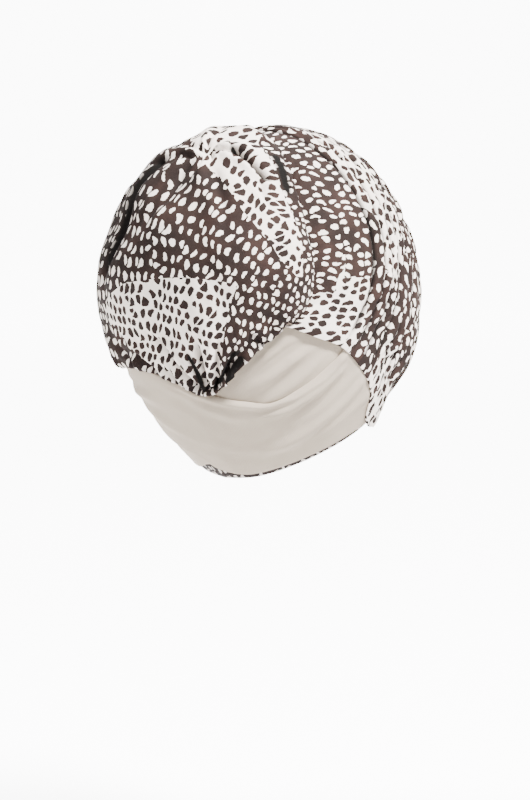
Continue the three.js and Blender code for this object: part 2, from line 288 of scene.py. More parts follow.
def fold(points, line, width, lean=0.0, start=0.15, end=0.15, sharp=2.0):
    """A fold's relief along a line: 1 on the line, and turned over by the share lean beside it.

    Beside it means on its left where lean is above 0, and on its right where lean is below 0.
    """
    d, t = to_line(points, line)
    taper = smooth(t / max(start, 1e-3)) * smooth((1 - t) / max(end, 1e-3))
    ridge = np.exp(-(np.abs(d / width) ** sharp))
    beside = np.exp(-(((d - 2.1 * width * np.sign(lean)) / (1.3 * width)) ** 2))
    return taper * (ridge - abs(lean) * beside)


def inside_distance(points, polygon):
    """Signed distance to a polygon of chart points, above 0 inside."""
    d = np.full(points.shape[:-1], 1e9)
    inside = np.zeros(points.shape[:-1], bool)
    for k in range(len(polygon)):
        a, b = polygon[k], polygon[(k + 1) % len(polygon)]
        run = b - a
        rel = points - a
        t = np.clip((rel @ run) / (run @ run), 0, 1)
        d = np.minimum(d, length(rel - t[..., None] * run))
        crosses = (a[1] > points[..., 1]) != (b[1] > points[..., 1])
        if a[1] != b[1]:
            x = a[0] + (points[..., 1] - a[1]) / (b[1] - a[1]) * (b[0] - a[0])
            inside ^= crosses & (points[..., 0] < x)
    return np.where(inside, d, -d)


def round_about(points, centre):
    """Distance of chart points from one point of the chart, and their bearing from it."""
    rel = points - centre
    return length(rel), np.arctan2(rel[..., 1], rel[..., 0])


def normals(grid):
    """Normals of a grid of points, away from the middle of the head form."""
    n = unit(np.cross(np.gradient(grid, axis=0), np.gradient(grid, axis=1)))
    return n * np.where((n * grid).sum(-1) < 0, -1, 1)[..., None]


# Meshes


def make_mesh(name, vertices, faces, attributes):
    mesh = bpy.data.meshes.new(name)
    mesh.from_pydata((vertices * 0.001).tolist(), [], faces)
    for key, values in attributes.items():
        kind = "FLOAT_VECTOR" if values.ndim == 2 else "FLOAT"
        layer = mesh.attributes.new(key, kind, "POINT")
        layer.data.foreach_set("vector" if values.ndim == 2 else "value", values.astype(np.float32).ravel())
    mesh.validate()
    obj = bpy.data.objects.new(name, mesh)
    bpy.context.scene.collection.objects.link(obj)
    mesh.polygons.foreach_set("use_smooth", [True] * len(mesh.polygons))
    return obj


def faces_inwards(grid, i, j):
    """Whether a grid's faces, as they are numbered, look to the middle of the head form at one place."""
    p = grid[i, j]
    return np.cross(grid[i + 1, j] - p, grid[i, j + 1] - p) @ p < 0


def grid_faces(columns, rows, flip, closed=False):
    """Quads of a grid of points; a closed grid joins its last row to its first."""
    i, j = np.meshgrid(np.arange(columns - 1), np.arange(rows if closed else rows - 1), indexing="ij")
    a = (i * rows + j).ravel()
    b = (i * rows + (j + 1) % rows).ravel()
    quad = np.stack([a, a + rows, b + rows, b], -1)
    return (quad[:, ::-1] if flip else quad).tolist()


def cloth_sheet(name, grid, attributes, materials):
    """A sheet of cloth on a grid of points, thickened inwards, with a material for its face and its back."""
    columns, rows = grid.shape[:2]
    faces = grid_faces(columns, rows, faces_inwards(grid, columns // 2, rows // 2))
    flat = {k: v.reshape(-1, v.shape[-1]) if v.ndim == 3 else v.ravel() for k, v in attributes.items()}
    obj = make_mesh(name, grid.reshape(-1, 3), faces, flat)
    solid = obj.modifiers.new("thickness", "SOLIDIFY")
    solid.thickness = SHEET_THICK * 0.001
    solid.offset = -1
    solid.use_even_offset = False
    solid.material_offset = 1
    for material in materials:
        obj.data.materials.append(material)
    return obj


def band_loft(name, outer, thick, chart):
    """A flat band of folded cloth with rounded edges, closed round its section."""
    n = normals(outer)
    across = unit(np.gradient(outer, axis=1))
    inner = outer - n * thick
    r = thick / 2
    turns = np.linspace(0, np.pi, EDGE_POINTS)[1:-1]

    def rounded(edge, sense):
        """Points round an edge, from the outer face on for sense 1, and back to it for sense -1."""
        points = []
        for t in turns:
            inwards = n[:, edge] * (sense * r * math.cos(t) - r)
            points.append(outer[:, edge] + inwards + across[:, edge] * (sense * r * math.sin(t)))
        return np.stack(points, 1)

    grid = np.concatenate([outer, rounded(-1, 1), inner[:, ::-LINING_STEP], rounded(0, -1)], 1)
    columns, rows = grid.shape[:2]
    flip = faces_inwards(grid, columns // 2, outer.shape[1] // 3)
    faces = grid_faces(columns, rows, flip, closed=True)
    caps = [list(range(rows)), [(columns - 1) * rows + k for k in range(rows)]]
    caps[1 if flip else 0].reverse()
    ends = [np.repeat(chart[:, [edge]], len(turns), 1) for edge in (-1, 0)]
    fab = np.concatenate([chart, ends[0], chart[:, ::-LINING_STEP], ends[1]], 1)
    return make_mesh(name, grid.reshape(-1, 3), faces + caps, {"fab": fab.reshape(-1, 3)})


# Materials


class Tree:
    """A short way to write node trees."""

    def __init__(self, material):
        material.use_nodes = True
        self.tree = material.node_tree
        self.tree.nodes.clear()

    def node(self, kind, **settings):
        n = self.tree.nodes.new(kind)
        for key, value in settings.items():
            setattr(n, key, value)
        return n

    def join(self, source, target):
        self.tree.links.new(source, target)

    def put(self, socket, value):
        if isinstance(value, bpy.types.NodeSocket):
            self.join(value, socket)
        else:
            socket.default_value = value

    def math(self, operation, a, b=0.0, c=0.0, clamp=False):
        n = self.node("ShaderNodeMath", operation=operation, use_clamp=clamp)
        for socket, value in zip(n.inputs, (a, b, c)):
            self.put(socket, value)
        return n.outputs[0]

    def vector(self, operation, a, b=(0, 0, 0), scale=1.0):
        n = self.node("ShaderNodeVectorMath", operation=operation)
        self.put(n.inputs[0], a)
        self.put(n.inputs[1], b)
        if operation == "SCALE":
            self.put(n.inputs["Scale"], scale)
        return n.outputs["Value" if operation in ("LENGTH", "DOT_PRODUCT") else "Vector"]

    def split(self, vector):
        n = self.node("ShaderNodeSeparateXYZ")
        self.join(vector, n.inputs[0])
        return n.outputs

    def combine(self, x, y, z=0.0):
        n = self.node("ShaderNodeCombineXYZ")
        for socket, value in zip(n.inputs, (x, y, z)):
            self.put(socket, value)
        return n.outputs[0]

    def blend(self, factor, a, b, mode="MIX"):
        n = self.node("ShaderNodeMix", data_type="RGBA", blend_type=mode)
        self.put(n.inputs["Factor"], factor)
        self.put(n.inputs[6], a)
        self.put(n.inputs[7], b)
        return n.outputs[2]

    def ramp(self, value, low, high):
        n = self.node("ShaderNodeMapRange", interpolation_type="SMOOTHSTEP")
        self.put(n.inputs["Value"], value)
        self.put(n.inputs["From Min"], low)
        self.put(n.inputs["From Max"], high)
        return n.outputs["Result"]

    def noise(self, vector, scale, detail=2.0, rough=0.5, dims="3D"):
        n = self.node("ShaderNodeTexNoise", noise_dimensions=dims)
        self.put(n.inputs["Vector"], vector)
        for name, value in (("Scale", scale), ("Detail", detail), ("Roughness", rough)):
            self.put(n.inputs[name], value)
        return n.outputs

    def attribute(self, name):
        return self.node("ShaderNodeAttribute", attribute_name=name, attribute_type="GEOMETRY").outputs


# The print: pitch across and along, half sizes of a spot and where its layout starts, in millimetres
PALE_SPOTS = (5.7, 8.6), (1.42, 2.8), (211.0, 97.0, 0)
DARK_SPOTS = (5.7, 8.1), (2.0, 3.2), (503.0, 389.0, 0)
# How the rows of spots wander: the noise's scale per millimetre and its reach in millimetres
SPOT_WANDER = (0.33, 1.3), (0.05, 6.5)
SPOT_SCATTER = 0.38
SPOT_TURN = 0.85
SPOT_BEND = 0.3
SPOT_POWER = 2.2
SPOT_GUARD = 0.075
SPOT_MELT = 0.55

# The sewn line of the hems, in millimetres
HEM_DEPTH = 7.0
STITCH = 2.8

# Colours of the cloth, and the painted shade laid into its folds
DARK = (0.0155, 0.0102, 0.009, 1)
DARK_WARM = (0.031, 0.0175, 0.0145, 1)
DARK_FLECK = (0.042, 0.028, 0.024, 1)
PALE = (0.88, 0.785, 0.71, 1)
PALE_FLECK = (0.76, 0.66, 0.6, 1)
REVERSE = (0.62, 0.55, 0.52, 1)
FOLD_SHADE = (0.005, 0.004, 0.0035, 1)
THREAD = (0.16, 0.115, 0.095, 1)
STONE = (0.36, 0.3, 0.24, 1)
STONE_WARM = (0.4, 0.335, 0.265, 1)
STONE_FLECK = (0.3, 0.252, 0.205, 1)


def spots(t, chart, cell, size, shift):
    """Bean-shaped spots on a chart in millimetres, 1 on a spot, with a pitch and half sizes."""
    moved = t.vector("ADD", chart, shift)
    moves = []
    for scale, reach in SPOT_WANDER:
        cloud = t.vector("SUBTRACT", t.noise(moved, scale, 1.0, 0.5, "2D")["Color"], (0.5, 0.5, 0.5))
        moves.append(t.vector("SCALE", cloud, scale=reach))
    warped = t.vector("ADD", moved, t.vector("ADD", moves[0], moves[1]))
    column, row, _ = t.split(t.vector("DIVIDE", warped, (cell[0], cell[1], 1)))
    staggered = t.combine(t.math("MULTIPLY_ADD", row, 0.5, column), row)
    points = t.node("ShaderNodeTexVoronoi", voronoi_dimensions="2D", feature="F1")
    edges = t.node("ShaderNodeTexVoronoi", voronoi_dimensions="2D", feature="DISTANCE_TO_EDGE")
    for n in (points, edges):
        t.join(staggered, n.inputs["Vector"])
        t.put(n.inputs["Scale"], 1)
        t.put(n.inputs["Randomness"], SPOT_SCATTER)
    column, row, _ = t.split(t.vector("SUBTRACT", staggered, points.outputs["Position"]))
    unstaggered = t.math("MULTIPLY_ADD", row, -0.5, column)
    local = t.combine(t.math("MULTIPLY", unstaggered, cell[0]), t.math("MULTIPLY", row, cell[1]))
    random = t.split(points.outputs["Color"])
    turn = t.node("ShaderNodeVectorRotate", rotation_type="Z_AXIS")
    t.join(local, turn.inputs["Vector"])
    t.put(turn.inputs["Angle"], t.math("MULTIPLY", t.math("SUBTRACT", random[0], 0.5), SPOT_TURN))
    x, y, _ = t.split(turn.outputs[0])
    bend = t.math("MULTIPLY", t.math("SUBTRACT", random[1], 0.5), SPOT_BEND)
    x = t.math("ADD", x, t.math("MULTIPLY", bend, t.math("MULTIPLY", y, y)))
    half_x = t.math("MULTIPLY_ADD", random[2], 0.45 * size[0], 0.77 * size[0])
    half_y = t.math("MULTIPLY_ADD", random[1], 0.5 * size[1], 0.75 * size[1])
    fx = t.math("POWER", t.math("ABSOLUTE", t.math("DIVIDE", x, half_x)), SPOT_POWER)
    fy = t.math("POWER", t.math("ABSOLUTE", t.math("DIVIDE", y, half_y)), SPOT_POWER)
    ragged = t.math("MULTIPLY", t.math("SUBTRACT", t.noise(moved, 0.9, 0.0, 0.5, "2D")[0], 0.5), 0.5)
    body = t.math("ADD", t.math("SUBTRACT", 1.0, t.math("ADD", fx, fy)), ragged)
    kept = t.math("MULTIPLY", t.math("SUBTRACT", edges.outputs["Distance"], SPOT_GUARD), 9.0)
    return t.ramp(t.math("SMOOTH_MIN", body, kept, SPOT_MELT), -0.14, 0.12)


def hem_seam(t):
    """The sewn line of a turned hem: 1 along its groove, and 1 on each stitch."""
    across, along, _ = t.split(t.attribute("hem")["Vector"])
    off_line = t.math("ABSOLUTE", t.math("SUBTRACT", across, HEM_DEPTH))
    groove = t.math("SUBTRACT", 1.0, t.ramp(off_line, 0.2, 1.1))
    stitch = t.ramp(t.math("SINE", t.math("MULTIPLY", along, 2 * math.pi / STITCH)), -0.5, 0.1)
    line = t.math("SUBTRACT", 1.0, t.ramp(off_line, 0.15, 0.4))
    return groove, t.math("MULTIPLY", stitch, line)


def jersey_bump(t, chart, strength, principled, seam=None):
    """The fine ribs of knitted jersey and a soft unevenness."""
    x, y, _ = t.split(chart)
    rib = t.math("SINE", t.math("MULTIPLY", x, 6.2))
    course = t.math("SINE", t.math("MULTIPLY_ADD", y, 9.0, t.math("MULTIPLY", rib, 1.1)))
    knit = t.math("MULTIPLY_ADD", course, 0.35, t.math("MULTIPLY", rib, 0.65))
    rough = t.noise(chart, 0.6, 3.0, 0.6)[0]
    height = t.math("MULTIPLY_ADD", rough, 1.6, t.math("MULTIPLY", knit, 0.5))
    if seam is not None:
        height = t.math("MULTIPLY_ADD", seam[0], -3.0, t.math("MULTIPLY_ADD", seam[1], 2.2, height))
    bump = t.node("ShaderNodeBump")
    bump.inputs["Strength"].default_value = strength
    bump.inputs["Distance"].default_value = 0.00022
    t.join(height, bump.inputs["Height"])
    t.join(bump.outputs[0], principled.inputs["Normal"])


def finish_cloth(t, color, roughness, sheen, principled):
    """Matt cloth with a faint sheen."""
    t.put(principled.inputs["Base Color"], color)
    t.put(principled.inputs["Roughness"], roughness)
    t.put(principled.inputs["Specular IOR Level"], 0.08)
    t.put(principled.inputs["Sheen Weight"], sheen)
    t.put(principled.inputs["Sheen Roughness"], 0.45)
    out = t.node("ShaderNodeOutputMaterial")
    t.join(principled.outputs[0], out.inputs[0])


def printed(name, reverse):
    """Spotted jersey: pale spots on dark, dark spots on pale where the patch attribute is above 0, and
    painted shade in the folds.
    """
    material = bpy.data.materials.new(name)
    t = Tree(material)
    principled = t.node("ShaderNodeBsdfPrincipled")
    chart = t.attribute("fab")["Vector"]
    patch = t.attribute("patch")["Fac"]
    pale_spots = spots(t, chart, *PALE_SPOTS)
    dark_spots = spots(t, chart, *DARK_SPOTS)
    tone = t.noise(chart, 0.045, 2.0, 0.55)[0]
    dark = t.blend(t.ramp(tone, 0.35, 0.75), DARK, DARK_WARM)
    fleck = t.noise(chart, 1.7, 2.0, 0.7)[0]
    dark = t.blend(t.math("MULTIPLY", t.ramp(fleck, 0.45, 0.8), 0.35), dark, DARK_FLECK)
    pale = t.blend(t.math("MULTIPLY", t.ramp(fleck, 0.5, 0.9), 0.25), PALE, PALE_FLECK)
    ground = t.blend(pale_spots, dark, pale)
    counter = t.blend(dark_spots, pale, dark)
    color = t.blend(t.ramp(patch, -0.12, 0.12), ground, counter)
    if reverse:
        color = t.blend(0.62, color, REVERSE)
    # Painted shade: the colour is darkened to near black where the crease attribute marks the deep folds
    painted_shade = t.math("MULTIPLY", t.attribute("crease_shade")["Fac"], 0.97, clamp=True)
    color = t.blend(painted_shade, color, FOLD_SHADE)
    seam = hem_seam(t)
    color = t.blend(t.math("MULTIPLY", seam[1], 0.55), color, THREAD)
    roughness = t.math("MULTIPLY_ADD", fleck, 0.12, 0.74)
    jersey_bump(t, chart, 0.55, principled, seam)
    finish_cloth(t, color, roughness, 0.01, principled)
    return material


def plain(name):
    """Plain jersey in a pale stone colour."""
    material = bpy.data.materials.new(name)
    t = Tree(material)
    principled = t.node("ShaderNodeBsdfPrincipled")
    chart = t.attribute("fab")["Vector"]
    tone = t.noise(chart, 0.03, 3.0, 0.55)[0]
    fleck = t.noise(chart, 1.4, 2.0, 0.7)[0]
    color = t.blend(t.ramp(tone, 0.3, 0.7), STONE, STONE_WARM)
    color = t.blend(t.math("MULTIPLY", t.ramp(fleck, 0.45, 0.85), 0.22), color, STONE_FLECK)
    roughness = t.math("MULTIPLY_ADD", fleck, 0.12, 0.78)
    jersey_bump(t, chart, 0.5, principled)
    finish_cloth(t, color, roughness, 0.04, principled)
    return material


PRINT = printed("spotted jersey", False)
PRINT_BACK = printed("spotted jersey reverse", True)
STONE_JERSEY = plain("stone jersey")

# The crown bag: lengths in millimetres
BAG_HANG = 3.4
TIP_HANG = 5.6
CHART_RADIUS = 104.0
BAG_RUN = 150.0
NAPE_SPAN = 250.0
NAPE_RUN = 80.0
PRINT_LEAN = 0.16


def bag_base(across, up):
    """The crown's outer face before its creases; up runs to 1 at the waist and 2 at the crown seam."""
    nape = off_head(nape_direction(across, np.clip(up, 0, 1)), nape_stand(across, np.clip(up, 0, 1)))
    q = np.clip(up - 1, 0, 1)
    top = np.ones_like(up)
    low = nape_stand(across, top) + 2 * (CLOTH + LAYER_GAP) + BAG_LIP
    puff = BAG_PUFF * mix(curve(BAG_SHAPE, across, "low"), curve(BAG_SHAPE, across, "high"), smooth(q))
    foot = on_head(curve(WAIST, across, "turn"), curve(WAIST, across, "level"))
    seam = hoop(top, across)
    lap = seam + unit(hoop(np.full_like(up, 0.95), across) - seam) * CROWN_LAP
    lap_place = np.full_like(up, 1 - CROWN_LAP / EAR_SEAM_LENGTH)
    lapped = drape_stand(lap_place, across) + CLOTH + 1.2 * LAYER_GAP
    stand = mix(low, lapped, smooth(q)) + puff * curve(BAG_PROFILE, q, "puff")
    bag = off_head(mix(foot, lap, q[..., None]), stand)
    hang = BAG_HANG + TIP_HANG * np.exp(-(((across - TUCK[0]) / 0.11) ** 2))
    hang = hang * (q / 0.035) * np.exp(1 - q / 0.035)
    bag = bag - np.stack([0 * q, 0 * q, hang * smooth(np.minimum(across, 1 - across) / 0.06)], -1)
    return mix(nape, bag, smooth(q / 0.022)[..., None])


def drape_stand(ear, half):
    """How far the drape stands off the head before its fine folds."""
    place = np.array(PLEATS)
    i = np.clip(np.searchsorted(place, ear, side="left") - 1, 0, len(place) - 2)
    t = np.clip((ear - place[i]) / (place[i + 1] - place[i]), 0, 1)
    roll = 0.4 + 0.6 * np.maximum(1 - (2 * t - 1) ** 2, 0) ** 0.65 * (1 - 0.2 * t)
    bunched = 0.65 + 0.35 * np.abs(2 * half - 1)
    flat = smooth((1 - ear) / 0.12)
    loft = SEAM_LOFT * curve(HOOPS, ear, "loft") * np.sin(np.pi * half) ** 2
    sewn = mix(0.2, 1, smooth(np.sin(np.pi * half) / 0.35))
    lift = PLEAT_RISE * curve(PLEAT_LIFT, ear, "lift")
    rolls = PLEAT_BED * smooth(ear / 0.1) + lift * roll * bunched * flat
    return SKIN_GAP + CLOTH + loft + rolls * sewn


BAG_CENTRE = np.array([0.0, 30.0, 20.0])
BAG_AXIS = unit(np.array([0.0, 0.85, 0.5]))
BAG_ACROSS = np.array([-1.0, 0.0, 0.0])
BAG_UP = np.cross(BAG_ACROSS, BAG_AXIS)


def bag_chart(points):
    """The bag laid flat round its middle, in millimetres: x to the wearer's right and y up."""
    d = unit(points - BAG_CENTRE)
    angle = np.arccos(np.clip(d @ BAG_AXIS, -1, 1))
    bearing = np.arctan2(d @ BAG_UP, d @ BAG_ACROSS)
    return np.stack([CHART_RADIUS * angle * np.cos(bearing), CHART_RADIUS * angle * np.sin(bearing)], -1)


# Creases of the bag as lines of (across, up) places, with their depth and width in millimetres, the share of
# the roll beside them, and the share of the line over which each end fades
BAG_CREASES = [
    ([(0.572, 1.7), (0.591, 1.636), (0.606, 1.603), (0.618, 1.577), (0.628, 1.543), (0.63, 1.501),
      (0.637, 1.458),
      (0.654, 1.416), (0.684, 1.368), (0.705, 1.33)], 5.0, 4.0, 0, 0.1, 0.2),
    ([(0.62, 1.78), (0.66, 1.66), (0.69, 1.55), (0.71, 1.45)], 3.0, 13.0, 0, 0.3, 0.3),
    ([(0.443, 1.765), (0.419, 1.762), (0.401, 1.762), (0.378, 1.761), (0.357, 1.762), (0.332, 1.773),
      (0.308, 1.815)], 7.5, 2.3, 0.4, 0.15, 0.25),
    ([(0.5, 1.7), (0.515, 1.62), (0.52, 1.55), (0.56, 1.46), (0.6, 1.38)], 3.8, 3.4, 0.6, 0.15, 0.5),
    ([(0.53, 1.62), (0.55, 1.52), (0.6, 1.43), (0.63, 1.38)], 2.6, 3.0, -0.6, 0.2, 0.5),
    ([(0.46, 1.7), (0.43, 1.64), (0.39, 1.57), (0.36, 1.46)], 2.2, 3.8, 0.5, 0.2, 0.5),
    ([(0.36, 1.76), (0.33, 1.72), (0.29, 1.7), (0.25, 1.72)], 2.6, 2.6, 0.5, 0.2, 0.5),
    ([(0.415, 1.0), (0.425, 1.12), (0.44, 1.25)], 6.0, 3.0, 0.4, 0.01, 0.6),
    ([(0.38, 1.0), (0.37, 1.12), (0.35, 1.24)], 5.0, 2.8, -0.4, 0.01, 0.6),
    ([(0.45, 1.0), (0.49, 1.08), (0.55, 1.16), (0.61, 1.2)], 5.5, 3.0, 0.5, 0.01, 0.6),
    ([(0.34, 1.0), (0.31, 1.1), (0.27, 1.2)], 4.0, 3.0, -0.5, 0.01, 0.6),
    ([(0.4, 1.03), (0.36, 1.06), (0.3, 1.08), (0.25, 1.07)], 4.0, 2.4, 0.5, 0.05, 0.5),
    ([(0.3, 1.02), (0.25, 1.1), (0.2, 1.16)], 3.2, 3.0, 0.5, 0.01, 0.6),
    ([(0.58, 1.01), (0.63, 1.07), (0.7, 1.12)], 4.0, 3.0, 0.5, 0.01, 0.6),
    ([(0.68, 1.01), (0.71, 1.1), (0.73, 1.2)], 3.6, 3.2, 0.5, 0.01, 0.6),
    ([(0.52, 1.01), (0.55, 1.06), (0.6, 1.09)], 3.2, 2.4, 0.5, 0.01, 0.6),
    ([(0.14, 1.02), (0.19, 1.12), (0.27, 1.22)], 3.4, 3.6, 0.5, 0.01, 0.6),
    ([(0.8, 1.02), (0.79, 1.15), (0.76, 1.3)], 3.4, 3.4, 0.5, 0.01, 0.6),
    ([(0.88, 1.05), (0.85, 1.2), (0.82, 1.35)], 3.2, 3.4, 0.5, 0.01, 0.6),
    ([(0.8, 1.85), (0.77, 1.7), (0.78, 1.5)], 4.0, 3.2, 0.5, 0.2, 0.6),
    ([(0.68, 1.85), (0.7, 1.7), (0.72, 1.55)], 3.2, 3.2, -0.5, 0.2, 0.6),
]
# Shade laid deep in the folds: the line and the width in millimetres
DEEP_SHADE = [
    (BAG_CREASES[0][0], 6.0),
    (BAG_CREASES[2][0], 1.5),
    ([(0.358, 1.875), (0.329, 1.877), (0.295, 1.87), (0.258, 1.877)], 3.0),
    ([(0.4, 1.0), (0.36, 1.06), (0.3, 1.1), (0.25, 1.12)], 2.2),
    ([(0.43, 1.0), (0.44, 1.08), (0.47, 1.17)], 1.9),
    ([(0.34, 1.0), (0.3, 1.05), (0.24, 1.07)], 2.2),
]
# Where the folds of the bag run together, as (across, up) places: its knot and its lower tip
KNOT = (0.485, 1.722)
TUCK = (0.41, 1.0)
# Heights of the bag's small folds, in millimetres
KNOT_SWIRL = 3.2
KNOT_DIMPLE = 4.0
KNOT_RAYS = 2.0
TUCK_RAYS = 2.8
SEAM_GATHERS = 2.2
SEAM_ROLL = 3.6
WAIST_GATHERS = 1.9
BROAD_DENTS = 2.2
SMALL_DENTS = 1.2

# Pale patches of the bag, as outlines of (across, up) places
BAG_PATCHES = [
    [(0.57, 2.0), (0.57, 1.86), (0.543, 1.757), (0.506, 1.7), (0.471, 1.667), (0.437, 1.65),
     (0.413, 1.636), (0.38, 1.613), (0.352, 1.598), (0.318, 1.593), (0.284, 1.588), (0.247, 1.591),
     (0.209, 1.586), (0.174, 1.601), (0.139, 1.641), (0.128, 1.728), (0.156, 1.773), (0.184, 1.812),
     (0.21, 1.835), (0.243, 1.831), (0.277, 1.827), (0.31, 1.834), (0.342, 1.842), (0.373, 1.845),
     (0.399, 1.86), (0.44, 2.0), (0.5, 2.0)],
    [(0.72, 1.27), (0.602, 1.321), (0.465, 1.369), (0.316, 1.384), (0.344, 1.195), (0.36, 1.0),
     (0.55, 0.97), (0.62, 1.06)],
    [(0.88, 1.5), (0.8, 1.75), (0.74, 1.7), (0.8, 1.45), (0.86, 1.2), (0.92, 1.2)],
]


def make_crown():
    """The crown: the nape under the bands, the bag, and its folds and gathers."""
    across = np.linspace(0, 1, 236)
    nape = np.linspace(0, 0.97, 20)
    up = np.concatenate([nape, 1 + np.linspace(0, 0.05, 13), 1 + np.linspace(0.056, 1, 142)])
    a, u = np.meshgrid(across, up, indexing="ij")
    base = bag_base(a, u)
    chart = bag_chart(base)
    q = np.clip(u - 1, 0, 1)
    n = normals(base)
    free = smooth(q / 0.06) * smooth((1 - q) / 0.05)
    held = smooth(np.minimum(a, 1 - a) / 0.07)
    height = np.zeros_like(a)
    for line, depth, width, lean, start, end in BAG_CREASES:
        path = chart_lines(chart, across, up, line)
        height -= depth * fold(chart, path, width, lean, start, end, 1.6)
    # Painted shade: darker where the creases are deep, along the lines of DEEP_SHADE, in the valleys of the
    # small folds and under the bag's lower edge
    crease_shade = np.clip(-height / 6 - 0.15, 0, 1)
    for line, width in DEEP_SHADE:
        d, t = to_line(chart, chart_lines(chart, across, up, line))
        shade = 1.6 * np.exp(-((d / width) ** 2)) * smooth(t / 0.08) * smooth((1 - t) / 0.25)
        crease_shade = np.maximum(crease_shade, shade)
    knot, tuck = chart_lines(chart, across, up, [KNOT, TUCK])
    r, angle = round_about(chart, knot)
    swirl = angle + 0.9 * np.exp(-r / 18)
    rays = np.cos(7 * swirl + 1.3) * 0.6 + np.cos(11 * swirl + 4.0 * noise(r / 14, 0 * r, 5)) * 0.4
    height += KNOT_SWIRL * rays * smooth(r / 7) * np.exp(-((r / 24) ** 2))
    height -= KNOT_DIMPLE * np.exp(-((r / 5.5) ** 2))
    rays = noise(angle * 3.0 + 7, r / 90, 11)
    reach = smooth((r - 10) / 24) * np.exp(-((r / 85) ** 2))
    height += KNOT_RAYS * puffs(rays) * reach
    crease_shade = np.maximum(crease_shade, 0.55 * valley(rays) * reach * np.exp(-((r / 45) ** 2)))
    r, angle = round_about(chart, tuck)
    rays = noise(angle * 3.8 + 3, r / 60, 23)
    reach = smooth((r - 3) / 14) * np.exp(-((r / 46) ** 2))
    height += TUCK_RAYS * puffs(rays) * reach
    crease_shade = np.maximum(crease_shade, 0.6 * valley(rays) * reach * np.exp(-((r / 30) ** 2)))
    seam = (1 - q) * BAG_RUN
    ruche = noise(a * 62 + 1.2 * noise(a * 9, seam / 20, 3), seam / 26, 31)
    reach = np.exp(-seam / 17) * (0.45 + 0.55 * np.exp(-(((a - 0.4) / 0.22) ** 2)))
    height += SEAM_GATHERS * puffs(ruche) * reach
    crease_shade = np.maximum(crease_shade, 0.7 * valley(ruche) * reach)
    foot = q * BAG_RUN
    gathers = noise(a * 44, foot / 24, 41)
    height += WAIST_GATHERS * puffs(gathers) * np.exp(-foot / 20)
    crease_shade = np.maximum(crease_shade, 0.6 * valley(gathers) * np.exp(-foot / 14))
    crease_shade = np.maximum(crease_shade, 0.45 * np.exp(-foot / 5))
    x, y = chart[..., 0], chart[..., 1]
    height += BROAD_DENTS * noise(x / 34, y / 40, 51) + SMALL_DENTS * noise(x / 13, y / 21, 52)
    height += SEAM_ROLL * np.exp(-(((q - 0.94) / 0.09) ** 2)) * np.sin(np.pi * a) ** 2
    grid = base + n * (height * free * (0.25 + 0.75 * held))[..., None]
    patch = np.full_like(a, -99.0)
    for outline in BAG_PATCHES:
        patch = np.maximum(patch, inside_distance(chart, chart_lines(chart, across, up, outline)))
    patch = np.where(u < 0.93, -9.0, patch)
    level, lean = math.cos(PRINT_LEAN), math.sin(PRINT_LEAN)
    bag_fab = np.stack([x * level + y * lean, y * level - x * lean, 0 * a], -1)
    nape_fab = np.stack([a * NAPE_SPAN, u * NAPE_RUN, 0 * a], -1)
    fab = np.where((u < 0.93)[..., None], nape_fab, bag_fab)
    hem = np.stack([np.where(u < 1, u * NAPE_RUN, 99), a * NAPE_SPAN, 0 * a], -1)
    marks = {"fab": fab, "patch": patch, "hem": hem, "crease_shade": crease_shade}
    return cloth_sheet("crown_cloth", grid, marks, (PRINT, PRINT_BACK))


# Pale patches of the drape, as outlines of (ear, half) places; half runs from the right ear to the left one
DRAPE_PATCHES = [
    [(1.0, -0.02), (1.0, 0.048), (0.935, 0.068), (0.863, 0.069), (0.862, 0.097), (0.766, 0.105),
     (0.683, 0.102),
     (0.656, 0.077), (0.633, 0.049), (0.593, 0.021), (0.59, -0.02), (0.811, -0.02)],
    [(0.86, 0.088), (0.85, 0.12), (0.836, 0.15), (0.826, 0.148), (0.828, 0.12), (0.83, 0.095)],
    [(0.605, 0.461), (0.614, 0.417), (0.617, 0.378), (0.647, 0.33), (0.656, 0.285), (0.669, 0.244),
     (0.616, 0.206), (0.601, 0.166), (0.581, 0.126), (0.487, 0.107), (0.461, 0.118), (0.394, 0.168),
     (0.375, 0.208), (0.368, 0.246), (0.385, 0.289), (0.452, 0.325), (0.476, 0.369), (0.491, 0.417),
     (0.565, 0.44)],
    [(-0.02, -0.03), (-0.02, 0.03), (0.067, 0.045), (0.152, 0.056), (0.269, 0.06), (0.375, 0.06),
     (0.39, 0.033), (0.362, -0.03)],
    [(0.05, 0.2), (0.1, 0.2), (0.12, 0.42), (0.07, 0.45)],
    [(0.42, 0.5), (0.61, 0.5), (0.6, 0.62), (0.52, 0.7), (0.44, 0.62)],
    [(0.2, 0.62), (0.33, 0.64), (0.36, 0.78), (0.28, 0.9), (0.2, 0.8)],
    [(0.62, 0.9), (0.75, 0.86), (0.95, 0.92), (1.0, 1.0), (0.62, 1.0)],
    [(0.68, 0.62), (0.9, 0.6), (0.95, 0.72), (0.8, 0.8), (0.7, 0.72)],
    [(0.0, 0.72), (0.1, 0.7), (0.14, 0.85), (0.05, 0.93)],
    [(0.02, 1.0), (0.04, 0.95), (0.3, 0.95), (0.34, 1.0)],
]


# The front drape: its span from ear to ear and its run from the front edge to the crown seam, in millimetres
DRAPE_SPAN = 330.0
DRAPE_RUN = 150.0
# Heights of its small folds, in millimetres
PLEAT_WRINKLES = 1.3
DRAPE_GATHERS = 2.2
PANEL_DENTS = 1.6
# The sewn edge of the drape lies over the ends of the bands
SEAM_LIP = 3.0
TIP_LIP = 5.0
LIP_STAND = SKIN_GAP + 3 * CLOTH + 2 * LAYER_GAP + 1.4
LIP_STEPS = np.linspace(0, 1, 9)[1:]


def seam_lip(edge, before, lip):
    """Rows beyond an edge of the drape, which climb onto the bands."""
    run = unit(edge - before)
    stand = length(edge) - length(off_head(edge, np.zeros(len(edge))))
    rows = []
    for share in LIP_STEPS:
        reach = lip * share
        rows.append(off_head(edge + run * reach[:, None], mix(stand, LIP_STAND, smooth(reach / 3.0))))
    return np.stack(rows, 1)


